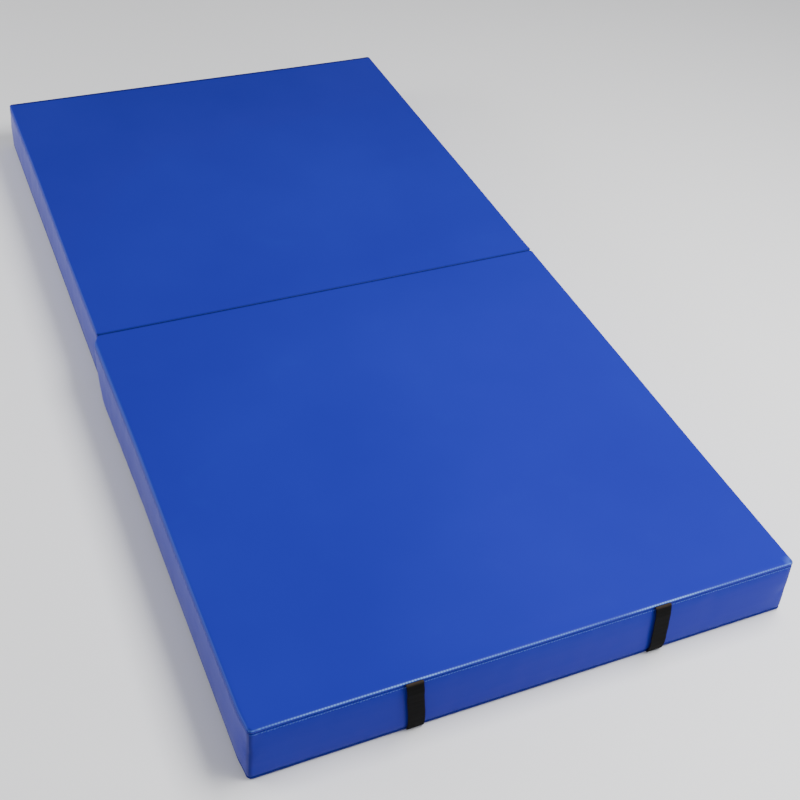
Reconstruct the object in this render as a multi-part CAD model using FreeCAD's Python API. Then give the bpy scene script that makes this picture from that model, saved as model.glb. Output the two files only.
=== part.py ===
import FreeCAD
import Part
import os

# Folding gym mat: two padded panels, each a zipped vinyl cover round a stack of foam sheets, joined
# along the top of the fold by a narrow vinyl strip. Carrying handles of webbing cross both ends.
# Millimetres. X is across the mat, Y along it with the near end at -Y, and Z up from the floor.
# The origin is on the floor under the middle of the fold.

# Overall size of the opened mat, without its handles
mat_width = 1000.0
mat_length = 2000.0
mat_height = 120.0
fold_gap = 1.0                # between the two panels' facing walls

# Vinyl covers
vinyl = 0.8
corner_radius = 12.0          # upright corners
edge_radius = 4.0             # edges round the top and the underside
seam_drop = 7.0               # from the top face down to its seam, and from the underside up to its own

# Foam stack
foam_layers = 4
foam_edge_radius = 4.0        # round the stack's top and underside

# Strip that hinges the panels together, down in the valley between their top edges
fold_strip_thickness = 1.5

# Webbing handles
webbing_width = 30.0
webbing_thickness = 1.5
handle_offset = 228.0         # handle's middle, from the mat's centre line
handle_bow = 8.0              # finger room behind the middle of a handle
handle_landing = 5.0          # stretch at each end that lies flat on the wall
seam_slot_height = 1.6        # slit in the seam that the webbing passes through
webbing_tail_clearance = 0.5  # from the webbing's sewn end to the foam

# Zip along one long side of each panel
tape_thickness = 0.6
tape_width = 14.8
tape_gap = 2.4                # between the two tapes
tape_tail = 12.0              # tape beyond each end of the teeth
tooth_height = 1.8
tooth_width = 2.4
tooth_gap = 1.6               # room for the slider's web between the two rows
top_stop_length = 2.5
bottom_stop_length = 3.0
stop_height = 2.0
end_tab_length = 16.0         # vinyl patch over each end of the zip
end_tab_height = 24.0
run_clearance = 0.3           # round everything that the slider runs past
edge_clearance = 0.5          # from the slider to the cover's turned edges
foam_clearance = 0.6          # from the slider's back plate to the foam

# Zip slider, with the arch that holds its pull
slider_plate = 1.0
slider_length = 11.0
slider_corner_radius = 1.5
slider_web_length = 4.0
slider_web_width = 1.0
arch_width = 2.0
arch_post = 0.8
arch_opening = 3.6

# Pull tab
pull_bar_radius = 0.6
pull_play = 0.25              # round the pull's bar inside the arch
pull_width = 6.0
pull_length = 22.0
pull_corner_radius = 1.5
pull_window_length = 4.2
pull_window_play = 0.6        # from the arch to each side of the pull's window

# Worked out from the sizes above. "Out" is measured outward from the zipped wall's outer face.
half_width = mat_width / 2
fold_face = fold_gap / 2
end_face = mat_length / 2
mid_height = mat_height / 2
top_seam = mat_height - seam_drop
bottom_seam = seam_drop

tape_out = -vinyl
tape_in = tape_out - tape_thickness
tooth_out = tape_out + tooth_height
tooth_far_edge = tooth_gap / 2 + tooth_width
slider_under = tooth_out + run_clearance
slider_face = slider_under + slider_plate
slider_back_out = tape_in - run_clearance
slider_back_in = slider_back_out - slider_plate
slider_half_width = tooth_far_edge + run_clearance + slider_plate
zip_opening = 2 * (slider_half_width + edge_clearance)
pull_axis_out = slider_face + pull_play + pull_bar_radius
arch_under = pull_axis_out + pull_bar_radius + pull_play
arch_out = arch_under + arch_post

# The foam stands off the walls by enough to let the slider's back plate pass
cover_slack = -slider_back_in - vinyl + foam_clearance
webbing_tail = cover_slack - webbing_tail_clearance

zip_start = fold_face + corner_radius + end_tab_length
zip_end = end_face - corner_radius - end_tab_length
slider_rest_y = zip_end - top_stop_length - run_clearance - slider_length / 2
slider_travel = slider_rest_y - slider_length / 2 - run_clearance - bottom_stop_length - zip_start

# The fold turns about a line just above the top faces, so that they close face to face
fold_axis_height = mat_height + fold_gap / 2


def block(low, high):
    """A box between two opposite corners."""
    size = [high[i] - low[i] for i in range(3)]
    return Part.makeBox(size[0], size[1], size[2], FreeCAD.Vector(*low))


def edges_along(shape, axis):
    """The straight edges that run along X, Y or Z, given as 0, 1 or 2."""
    found = []
    for edge in shape.Edges:
        step = edge.Vertexes[-1].Point - edge.Vertexes[0].Point
        if step.Length > 0 and abs(abs(step[axis]) - step.Length) < 1e-6:
            found.append(edge)
    return found


def rounded_panel(inset, lift, edge_round):
    """The far panel's outline with all its edges rounded, inset at the walls, lift at top and bottom."""
    low = (-half_width + inset, fold_face + inset, lift)
    high = (half_width - inset, end_face - inset, mat_height - lift)
    plain = block(low, high)
    panel = plain.makeFillet(corner_radius - inset, edges_along(plain, 2))
    uprights = edges_along(panel, 2)
    rim = [edge for edge in panel.Edges if not any(edge.isSame(upright) for upright in uprights)]
    return panel.makeFillet(edge_round, rim)


def cover_skin():
    """The far panel's whole vinyl cover as one closed shell of even thickness."""
    outside = rounded_panel(0.0, 0.0, edge_radius)
    return outside.cut(rounded_panel(vinyl, vinyl, edge_radius - vinyl))


def layer(shape, bottom, top):
    """The part of a shape between two heights."""
    reach = mat_length + mat_width
    return shape.common(block((-reach, -reach, bottom), (reach, reach, top)))


def along_mitre(corner, distance):
    """The point at a distance inward from a corner of the panel's plan, on its 45 degree mitre line."""
    inward_x = -1 if corner[0] > 0 else 1
    inward_y = -1 if corner[1] > fold_face else 1
    return FreeCAD.Vector(corner[0] + inward_x * distance, corner[1] + inward_y * distance, bottom_seam)


def wall(skin, corner_a, corner_b):
    """One wall of the cover between its two seams, mitred through the upright corners."""
    past_the_wall = -fold_face
    past_the_corner = 2 * corner_radius
    outline = [
        along_mitre(corner_a, past_the_wall),
        along_mitre(corner_b, past_the_wall),
        along_mitre(corner_b, past_the_corner),
        along_mitre(corner_a, past_the_corner),
    ]
    plan = Part.Face(Part.makePolygon(outline + outline[:1]))
    return skin.common(plan.extrude(FreeCAD.Vector(0, 0, top_seam - bottom_seam)))


def foam_sheets():
    """Flat foam sheets, stacked to fill the cover from its underside to its top."""
    stack = rounded_panel(vinyl + cover_slack, vinyl, foam_edge_radius)
    thickness = (mat_height - 2 * vinyl) / foam_layers
    sheets = []
    for number in range(foam_layers):
        bottom = vinyl + number * thickness
        sheets.append(layer(stack, bottom, bottom + thickness))
    return sheets


def handle(x):
    """Webbing handle: bowed off the end wall, with both ends sewn in through slits in the seams."""
    wall_y = end_face

    def at(out, height):
        return FreeCAD.Vector(x - webbing_width / 2, wall_y + out, height)

    outer_top = at(0, top_seam)
    outer_bottom = at(0, bottom_seam)
    inner_top = at(0, top_seam - handle_landing)
    inner_bottom = at(0, bottom_seam + handle_landing)
    outline = Part.Wire([
        Part.Arc(outer_top, at(handle_bow + webbing_thickness, mid_height), outer_bottom).toShape(),
        Part.LineSegment(outer_bottom, inner_bottom).toShape(),
        Part.Arc(inner_bottom, at(handle_bow, mid_height), inner_top).toShape(),
        Part.LineSegment(inner_top, outer_top).toShape(),
    ])
    strap = Part.Face(outline).extrude(FreeCAD.Vector(webbing_width, 0, 0))
    for tail in webbing_tails(x):
        strap = strap.fuse(tail)
    return strap.removeSplitter()


def webbing_tails(x):
    """The two ends of a handle where they pass through the seams."""
    low_x = x - webbing_width / 2
    inner_y = end_face - vinyl - webbing_tail
    tails = []
    for bottom in (bottom_seam, top_seam - seam_slot_height):
        high = (low_x + webbing_width, end_face, bottom + seam_slot_height)
        tails.append(block((low_x, inner_y, bottom), high))
    return tails


def zip_block(out_low, out_high, y_low, y_high, across_low, across_high):
    """A box placed on the zipped wall: outward, along the zip, and across it from its middle."""
    low = (half_width + out_low, y_low, mid_height + across_low)
    high = (half_width + out_high, y_high, mid_height + across_high)
    return block(low, high)


def zip_pair(out_low, out_high, y_low, y_high, near_edge, far_edge):
    """The same box above and below the middle of the zip."""
    upper = zip_block(out_low, out_high, y_low, y_high, near_edge, far_edge)
    lower = zip_block(out_low, out_high, y_low, y_high, -far_edge, -near_edge)
    return upper, lower


def zip_slider():
    """Slider: face plate with side flanges, web and back plate, and the arch for the pull."""
    y_low = slider_rest_y - slider_length / 2
    y_high = slider_rest_y + slider_length / 2
    half = slider_half_width
    flange_in = tape_out + run_clearance
    face = zip_block(slider_under, slider_face, y_low, y_high, -half, half)
    body = face.makeFillet(slider_corner_radius, edges_along(face, 0))
    back = zip_block(slider_back_in, slider_back_out, y_low, y_high, -half, half)
    body = body.fuse(back.makeFillet(slider_corner_radius, edges_along(back, 0)))
    flange_low = y_low + slider_corner_radius
    flange_high = y_high - slider_corner_radius
    for flange in zip_pair(flange_in, slider_under, flange_low, flange_high, half - slider_plate, half):
        body = body.fuse(flange)
    web_half = slider_web_width / 2
    web_low = y_high - slider_corner_radius - slider_web_length
    web_high = web_low + slider_web_length
    body = body.fuse(zip_block(slider_back_out, slider_under, web_low, web_high, -web_half, web_half))
    arch_half = arch_width / 2
    arch_reach = arch_opening / 2 + arch_post
    arch_low = slider_rest_y - arch_reach
    arch_high = slider_rest_y + arch_reach
    arch = zip_block(slider_face, arch_out, arch_low, arch_high, -arch_half, arch_half)
    under_low = slider_rest_y - arch_opening / 2
    under_high = slider_rest_y + arch_opening / 2
    arch = arch.cut(zip_block(slider_face, arch_under, under_low, under_high, -arch_half, arch_half))
    return body.fuse(arch).removeSplitter()


def zip_pull():
    """Pull tab, lying flat towards the fold, with a round bar that turns in the slider's arch."""
    tip = slider_rest_y - pull_length
    out_low = pull_axis_out - pull_bar_radius
    out_high = pull_axis_out + pull_bar_radius
    half = pull_width / 2
    plate = zip_block(out_low, out_high, tip, slider_rest_y, -half, half)
    tip_corners = [edge for edge in edges_along(plate, 0) if edge.Vertexes[0].Y < slider_rest_y - pull_corner_radius]
    plate = plate.makeFillet(pull_corner_radius, tip_corners)
    window_half = arch_width / 2 + pull_window_play
    window_low = slider_rest_y - pull_window_length
    plate = plate.cut(zip_block(out_low, out_high, window_low, slider_rest_y, -window_half, window_half))
    bar_start = FreeCAD.Vector(half_width + pull_axis_out, slider_rest_y, mid_height - half)
    bar = Part.makeCylinder(pull_bar_radius, pull_width, bar_start, FreeCAD.Vector(0, 0, 1))
    return plate.fuse(bar).removeSplitter()


def panel_parts():
    """Every piece of the far panel, by name."""
    skin = cover_skin()
    parts = {
        "top_sheet": layer(skin, top_seam, mat_height),
        "bottom_sheet": layer(skin, 0.0, bottom_seam),
        "side_boxing": wall(skin, (-half_width, fold_face), (-half_width, end_face)),
        "fold_boxing": wall(skin, (-half_width, fold_face), (half_width, fold_face)),
    }
    end_boxing = wall(skin, (-half_width, end_face), (half_width, end_face))
    for side, x in (("left", -handle_offset), ("right", handle_offset)):
        parts["handle_" + side] = handle(x)
        for tail in webbing_tails(x):
            end_boxing = end_boxing.cut(tail)
    parts["end_boxing"] = end_boxing

    zip_wall = wall(skin, (half_width, fold_face), (half_width, end_face))
    half_opening = zip_opening / 2
    zip_wall = zip_wall.cut(zip_block(-2 * vinyl, vinyl, zip_start, zip_end, -half_opening, half_opening))
    parts["zip_strip_upper"] = layer(zip_wall, mid_height, mat_height)
    parts["zip_strip_lower"] = layer(zip_wall, 0.0, mid_height)

    for number, sheet in enumerate(foam_sheets(), 1):
        parts["foam_" + str(number)] = sheet

    tape_ends = (zip_start - tape_tail, zip_end + tape_tail)
    tape_edges = (tape_gap / 2, tape_gap / 2 + tape_width)
    upper, lower = zip_pair(tape_in, tape_out, *tape_ends, *tape_edges)
    parts["zip_tape_upper"] = upper
    parts["zip_tape_lower"] = lower
    teeth_ends = (zip_start + bottom_stop_length, zip_end - top_stop_length)
    upper, lower = zip_pair(tape_out, tooth_out, *teeth_ends, tooth_gap / 2, tooth_far_edge)
    parts["zip_teeth_upper"] = upper
    parts["zip_teeth_lower"] = lower
    stop_out = tape_out + stop_height
    stops = zip_pair(tape_out, stop_out, zip_end - top_stop_length, zip_end, tooth_gap / 2, tooth_far_edge)
    parts["zip_top_stops"] = Part.makeCompound(list(stops))
    stop_end = zip_start + bottom_stop_length
    parts["zip_bottom_stop"] = zip_block(tape_out, stop_out, zip_start, stop_end, -tooth_far_edge, tooth_far_edge)
    tab_half = end_tab_height / 2
    tabs = []
    for tab_low in (zip_start - end_tab_length, zip_end):
        tabs.append(zip_block(0, vinyl, tab_low, tab_low + end_tab_length, -tab_half, tab_half))
    parts["zip_end_tabs"] = Part.makeCompound(tabs)
    parts["zip_slider"] = zip_slider()
    parts["zip_pull"] = zip_pull()
    return parts


def fold_strip():
    """Vinyl strip that joins the two panels, sewn in below the rounded top edges of the fold."""
    reach = half_width - corner_radius
    top = mat_height - edge_radius
    return block((-reach, -fold_face, top - fold_strip_thickness), (reach, fold_face, top))


def save(name, shape):
    """Writes one piece, as a single solid or as a group of separate solids."""
    solids = shape.Solids
    piece = solids[0] if len(solids) == 1 else Part.makeCompound(solids)
    piece.exportStep("parts/" + name + ".step")
    print(name, len(solids), "solid", "valid" if piece.isValid() else "INVALID", round(piece.Volume / 1000, 2), "cm3")


os.makedirs("parts", exist_ok=True)
for part_name, far_part in panel_parts().items():
    near_part = far_part.mirror(FreeCAD.Vector(0, 0, 0), FreeCAD.Vector(0, 1, 0))
    save("far_" + part_name, far_part)
    save("near_" + part_name, near_part)
save("fold_strip", fold_strip())

print("fold axis height", fold_axis_height)
print("zip slider rests at y", slider_rest_y, "and travels", slider_travel)
print("pull turns at x", half_width + pull_axis_out)
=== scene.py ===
import bmesh
import bpy
import math
from mathutils import Matrix, Vector, kdtree, noise


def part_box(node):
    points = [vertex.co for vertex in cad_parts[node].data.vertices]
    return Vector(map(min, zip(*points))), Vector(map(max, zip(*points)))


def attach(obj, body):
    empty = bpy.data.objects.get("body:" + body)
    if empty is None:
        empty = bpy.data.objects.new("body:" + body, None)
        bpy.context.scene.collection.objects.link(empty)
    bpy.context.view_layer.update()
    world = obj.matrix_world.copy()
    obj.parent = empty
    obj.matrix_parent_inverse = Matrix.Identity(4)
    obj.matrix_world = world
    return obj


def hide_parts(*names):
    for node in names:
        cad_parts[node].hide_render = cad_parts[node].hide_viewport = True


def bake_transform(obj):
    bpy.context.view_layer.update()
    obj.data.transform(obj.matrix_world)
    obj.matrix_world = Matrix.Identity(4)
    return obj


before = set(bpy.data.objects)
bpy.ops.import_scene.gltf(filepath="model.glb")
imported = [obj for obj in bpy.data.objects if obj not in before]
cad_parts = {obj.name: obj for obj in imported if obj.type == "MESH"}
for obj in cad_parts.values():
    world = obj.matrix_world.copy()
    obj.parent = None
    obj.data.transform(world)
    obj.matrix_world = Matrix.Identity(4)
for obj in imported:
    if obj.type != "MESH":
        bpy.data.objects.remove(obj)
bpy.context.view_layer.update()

# Foam. Four sheets of white closed-cell foam, 30 mm stock, are stacked in each cover. They are cut with
# a blade, so their faces are flat, with clean corners that are rounded off, and the tight cover presses
# the stack a little thinner.
MM = 0.001
FOAM_PRESSED = 0.978
FOAM_FOLD_ROOM = 3.6 * MM
FOAM_CORNER = 35 * MM
FOAM_EDGE = 3 * MM
FOAM_WHITE = (0.78, 0.79, 0.77)
FOAM_SHADE = (0.70, 0.71, 0.69)
FOAM_GRID = 100 * MM
TOUCH = 0.001 * MM


def start_block(name, low, high):
    """A plain block between two corners, alone in the selection, with its place in its mesh."""
    bpy.ops.object.select_all(action="DESELECT")
    middle = (Vector(low) + Vector(high)) / 2
    bpy.ops.mesh.primitive_cube_add(size=1, location=middle)
    block = bpy.context.object
    block.name = name
    block.scale = Vector(high) - Vector(low)
    bpy.ops.object.transform_apply(location=True, rotation=True, scale=True)
    return block


def pick_edges(test):
    """In edit mode, selects the edges that pass a test, and nothing else."""
    bpy.ops.mesh.select_mode(type="EDGE")
    bpy.ops.mesh.select_all(action="DESELECT")
    mesh = bmesh.from_edit_mesh(bpy.context.object.data)
    for edge in mesh.edges:
        edge.select_set(bool(test(edge.verts[0].co, edge.verts[1].co)))
    bmesh.update_edit_mesh(bpy.context.object.data)


def pick_faces(test):
    """In edit mode, selects the faces whose middles pass a test, and nothing else."""
    bpy.ops.mesh.select_mode(type="FACE")
    bpy.ops.mesh.select_all(action="DESELECT")
    mesh = bmesh.from_edit_mesh(bpy.context.object.data)
    for face in mesh.faces:
        face.select_set(bool(test(face.calc_center_median())))
    bmesh.update_edit_mesh(bpy.context.object.data)


def cut_lines(places, axis):
    """Cuts right through the mesh being edited at several places along X, Y or Z."""
    across = Vector((0, 0, 0))
    across[axis] = 1
    for place in places:
        bpy.ops.mesh.select_all(action="SELECT")
        bpy.ops.mesh.bisect(plane_co=across * place, plane_no=across)


def divide_long(axis, shortest, cuts):
    """Divides every edge that is longer than a given length along one axis."""
    pick_edges(lambda a, b: abs(b[axis] - a[axis]) > shortest)
    bpy.ops.mesh.subdivide(number_cuts=cuts)


def use_material(piece, material):
    """Gives a new piece its one material."""
    piece.data.materials.clear()
    piece.data.materials.append(material)


def new_material(name):
    """A new material, its tree, its shader, and the places on the object that its patterns follow."""
    material = bpy.data.materials.new(name)
    material.use_nodes = True
    tree = material.node_tree
    place = tree.nodes.new("ShaderNodeTexCoord").outputs["Object"]
    return material, tree, tree.nodes["Principled BSDF"], place


def cloudy(tree, place, scale, detail=3.0, roughness=0.5):
    """A noise pattern of a given number of patches per metre."""
    texture = tree.nodes.new("ShaderNodeTexNoise")
    texture.inputs["Scale"].default_value = scale
    texture.inputs["Detail"].default_value = detail
    texture.inputs["Roughness"].default_value = roughness
    tree.links.new(place, texture.inputs["Vector"])
    return texture.outputs["Fac"]


def grainy(tree, place, scale):
    """A pattern of small round cells, as many per metre as the scale says."""
    texture = tree.nodes.new("ShaderNodeTexVoronoi")
    texture.inputs["Scale"].default_value = scale
    tree.links.new(place, texture.inputs["Vector"])
    return texture.outputs["Distance"]


def stretch(tree, place, scales):
    """Places scaled apart along X, Y and Z, for threads that run one way."""
    mapping = tree.nodes.new("ShaderNodeMapping")
    mapping.inputs["Scale"].default_value = scales
    tree.links.new(place, mapping.inputs["Vector"])
    return mapping.outputs["Vector"]


def mix_color(tree, share, first, second):
    """A colour between two others, each a plain colour or a socket."""
    mix = tree.nodes.new("ShaderNodeMix")
    mix.data_type = "RGBA"
    tree.links.new(share, mix.inputs["Factor"])
    for socket, value in ((mix.inputs[6], first), (mix.inputs[7], second)):
        if isinstance(value, tuple):
            socket.default_value = (*value, 1)
        else:
            tree.links.new(value, socket)
    return mix.outputs[2]


def spread(tree, value, low, high, start=0.0, end=1.0):
    """A value's range from low to high, spread over another range."""
    node = tree.nodes.new("ShaderNodeMapRange")
    tree.links.new(value, node.inputs["Value"])
    for name, number in (("From Min", low), ("From Max", high), ("To Min", start), ("To Max", end)):
        node.inputs[name].default_value = number
    return node.outputs["Result"]


def relief(tree, height, distance, strength, under=None):
    """A fine relief, over another one if it is given."""
    node = tree.nodes.new("ShaderNodeBump")
    node.inputs["Distance"].default_value = distance
    node.inputs["Strength"].default_value = strength
    tree.links.new(height, node.inputs["Height"])
    if under:
        tree.links.new(under, node.inputs["Normal"])
    return node.outputs["Normal"]


def make_foam():
    """White foam with fine closed cells."""
    material, tree, shader, place = new_material("white_foam")
    cells = grainy(tree, place, 700)
    color = mix_color(tree, spread(tree, cells, 0.1, 0.7), FOAM_SHADE, FOAM_WHITE)
    tree.links.new(color, shader.inputs["Base Color"])
    tree.links.new(spread(tree, cloudy(tree, place, 30), 0.3, 0.7, 0.7, 0.9), shader.inputs["Roughness"])
    tree.links.new(relief(tree, cells, 0.0005, 0.5), shader.inputs["Normal"])
    return material


white_foam = make_foam()
for side in ("near", "far"):
    floor_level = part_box(side + "_foam_1")[0].z
    for number in range(1, 5):
        node = side + "_foam_" + str(number)
        low, high = [corner.copy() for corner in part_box(node)]
        low.z = floor_level + (low.z - floor_level) * FOAM_PRESSED
        high.z = floor_level + (high.z - floor_level) * FOAM_PRESSED
        if side == "near":
            high.y -= FOAM_FOLD_ROOM
        else:
            low.y += FOAM_FOLD_ROOM
        foam = start_block(side + "_foam_sheet_" + str(number), low, high)
        bpy.ops.object.mode_set(mode="EDIT")
        pick_edges(lambda a, b: abs(a.z - b.z) > FOAM_EDGE)
        bpy.ops.mesh.bevel(offset=FOAM_CORNER, segments=10)
        pick_edges(lambda a, b: abs(a.z - b.z) < TOUCH)
        bpy.ops.mesh.bevel(offset=FOAM_EDGE, segments=3)
        cut_lines([step * FOAM_GRID for step in range(-4, 5)], 0)
        cut_lines([step * FOAM_GRID for step in range(-9, 10)], 1)
        bpy.ops.object.mode_set(mode="OBJECT")
        bpy.ops.object.shade_smooth_by_angle(angle=math.radians(35))
        use_material(foam, white_foam)
        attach(foam, side + "_panel")
        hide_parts(node)

# Covers, their form. Each panel's cover is cut from blue PVC-coated cloth as a top, a bottom and four
# walls, sewn together inside out and turned through the zip. The tight cover has soft edges and walls
# that swell a little between the seams. The near panel's plain side is slack and rolls over its edge.
SHEET = 0.8 * MM
CORNER_ROUND = 8 * MM
FOLD_CORNER_PULL = 10 * MM
SLACK_CORNER_PULL = 18 * MM
EDGE_ROUND = 4 * MM
FOLD_EDGE_ROUND = 2.2 * MM
SLACK_EDGE_ROUND = 9 * MM
TOP_SINK = 1.2 * MM
TOP_RIPPLE = 0.3 * MM
SLACK_SWELL = 6.5 * MM
SLACK_SWELL_AT_FOLD = 4.5 * MM
FOLD_WALL_LEAN = 3.4 * MM
WANDER = 1.5 * MM
ZIP_BAND = 18 * MM
ZIP_BAND_FADE = 15 * MM
FOLD_EASE = 20 * MM
WALL_INSET = 45 * MM
SLACK_EDGE_FADING = 0.55
SLACK_START = 22 * MM
SLACK_START_LOWER = 90 * MM
SLACK_FOLD_REACH = 450 * MM
SLACK_FADING = 0.45
SLACK_FADE_FROM = 400 * MM
SLACK_FADE_OVER = 600 * MM
SLACK_END_REACH = 50 * MM
LEAN_MIDDLE_SHARE = 0.12
WANDER_REACH = 50 * MM
WANDER_WAVES = 2.2
RIPPLE_WAVES = 3.1
SINK_REACH = 30 * MM
NEAREST_CELLS = 4


class Panel:
    """One panel's place. Its own Y is measured from the fold outwards."""

    def __init__(self, name):
        low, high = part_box(name + "_top_sheet")
        self.name = name
        self.body = name + "_panel"
        self.sign = 1 if name == "far" else -1
        self.west = low.x
        self.east = high.x
        self.length = high.y - low.y
        self.fold_y = low.y if name == "far" else high.y
        self.top = high.z
        self.middle = high.z / 2
        self.top_seam = low.z
        self.bottom_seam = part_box(name + "_bottom_sheet")[1].z
        self.swell = None

    def own(self, point):
        """A point of the whole mat in the panel's own measure."""
        return Vector((point[0], (point[1] - self.fold_y) * self.sign, point[2]))

    def world(self, point):
        """A point in the panel's own measure back on the whole mat."""
        return Vector((point[0], self.fold_y + point[1] * self.sign, point[2]))


def ease(share):
    """Smooth step from 0 to 1."""
    share = min(1.0, max(0.0, share))
    return share * share * (3 - 2 * share)


def corner_round(panel, at_fold, west, height):
    """Radius of an upright corner. The corners at the fold are pulled in more towards the floor."""
    if not at_fold:
        return CORNER_ROUND
    pull = SLACK_CORNER_PULL if panel.name == "near" and west else FOLD_CORNER_PULL
    return CORNER_ROUND + pull * (1 - height / panel.top)


def edge_round(panel, facing, along):
    """Radius of the top and bottom edges."""
    if facing.y < -0.3:
        return FOLD_EDGE_ROUND
    if panel.name == "near" and facing.x < -0.5:
        slack = ease(along / FOLD_EASE) * (1 - SLACK_EDGE_FADING * ease(along / panel.length))
        return FOLD_EDGE_ROUND + (SLACK_EDGE_ROUND - FOLD_EDGE_ROUND) * slack
    return FOLD_EDGE_ROUND + (EDGE_ROUND - FOLD_EDGE_ROUND) * ease(along / FOLD_EASE)


def outline(panel, point):
    """A point of the sharp-cornered panel moved to its rounded plan, with its depth and facing."""
    west_side = point.x < (panel.west + panel.east) / 2
    fold_side = point.y < panel.length / 2
    radius = corner_round(panel, fold_side, west_side, point.z)
    centre_x = panel.west + radius if west_side else panel.east - radius
    centre_y = radius if fold_side else panel.length - radius
    out_x = (centre_x - point.x) if west_side else (point.x - centre_x)
    out_y = (centre_y - point.y) if fold_side else (point.y - centre_y)
    face_x = -1 if west_side else 1
    face_y = -1 if fold_side else 1
    if out_x > 0 and out_y > 0:
        reach = max(out_x, out_y)
        span = math.hypot(out_x, out_y)
        facing = Vector((face_x * out_x / span, face_y * out_y / span, 0))
        return Vector((centre_x, centre_y, point.z)) + facing * reach, radius - reach, facing
    if out_x > out_y:
        return point.copy(), radius - out_x, Vector((face_x, 0, 0))
    return point.copy(), radius - out_y, Vector((0, face_y, 0))


def rolled(panel, point, lift=0.0):
    """A point of the sharp-edged panel on its rounded form, lifted off the surface."""
    place, depth, facing = outline(panel, point)
    upper = point.z > panel.middle
    below = panel.top - point.z if upper else point.z
    radius = edge_round(panel, facing, point.y)
    up = Vector((0, 0, 1 if upper else -1))
    if depth < radius and below < radius:
        inward = radius - depth
        inner = radius - below
        reach = max(inward, inner) + lift
        normal = (facing * inward + up * inner) / math.hypot(inward, inner)
        place = place + facing * (depth - radius) + normal * reach
        place.z = (panel.top - radius if upper else radius) + normal.z * reach
        return place, depth, facing
    if below < TOUCH:
        return place + up * lift, depth, facing
    return place + facing * lift, depth, facing


def hang(panel, point, depth, facing):
    """How far the cover hangs off its plain rounded form: its slack, its lean and its waviness."""
    along = point.y
    height = point.z / panel.top
    on_wall = 1 - ease(depth / WALL_INSET)
    out = 0.0
    if panel.name == "near" and facing.x < -0.3:
        reach = SLACK_START + SLACK_START_LOWER * (1 - height)
        slack = SLACK_SWELL + SLACK_SWELL_AT_FOLD * (1 - ease(along / SLACK_FOLD_REACH))
        fading = 1 - SLACK_FADING * ease((along - SLACK_FADE_FROM) / SLACK_FADE_OVER)
        ends = ease(along / reach) * ease((panel.length - along) / SLACK_END_REACH)
        out += slack * fading * ends * -facing.x
    if facing.y < -0.5:
        towards_side = ease(abs(2 * point.x / (panel.east - panel.west)))
        share = LEAN_MIDDLE_SHARE + (1 - LEAN_MIDDLE_SHARE) * towards_side
        out -= FOLD_WALL_LEAN * (1 - height) ** 1.2 * share
    else:
        loose = WANDER * ease((along - FOLD_EASE) / WANDER_REACH)
        if facing.x > 0.5:
            loose *= ease((abs(point.z - panel.middle) - ZIP_BAND) / ZIP_BAND_FADE)
        wave = Vector((point.x * WANDER_WAVES, along * WANDER_WAVES + 7 * panel.sign, height * 0.8))
        out += loose * noise.noise(wave)
    move = facing * out * on_wall
    if panel.top - point.z < TOUCH:
        ripple = noise.noise(Vector((point.x * RIPPLE_WAVES, along * RIPPLE_WAVES, 9.7 * panel.sign)))
        move.z -= (TOP_SINK + TOP_RIPPLE * ripple) * ease(depth / SINK_REACH)
    return move


def swelling(panel, point):
    """The simulated swelling here, from the nearest points of the simulated cover."""
    tree, moves = panel.swell
    total = Vector((0, 0, 0))
    weight = 0.0
    for _, index, distance in tree.find_n(point, NEAREST_CELLS):
        share = 1 / (distance + 0.5 * MM)
        total += moves[index] * share
        weight += share
    return total / weight


def settled(panel, point, lift=0.0):
    """Where a point of the sharp-edged panel lies on the filled cover."""
    place, depth, facing = rolled(panel, point, lift)
    place = place + hang(panel, point, depth, facing)
    if panel.swell:
        place = place + swelling(panel, point)
    return place


# Covers, their swelling. Filled covers swell between their seams, so a coarse cover is simulated as
# cloth under a light pressure, held at its seams and along the zip. The moves, held to a few
# millimetres, shape every sheet that is made after this.
WALL_SWELL = 3.2 * MM
TOP_SWELL = 0.5 * MM
FOLD_SWELL = 0.6 * MM
CELL = 12.5 * MM
PANEL_LONG = 500 * MM
WALL_TALL = 50 * MM
WALL_CUTS = 8
SWELL_FRAMES = 16


def swell_limit(panel, point):
    """How far the cover may swell: not at all on the floor, and little on top and at the fold."""
    if point.z < TOUCH:
        return 0.0
    if panel.top - point.z < TOUCH:
        return TOP_SWELL
    if point.y < TOUCH:
        return FOLD_SWELL
    return WALL_SWELL


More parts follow.
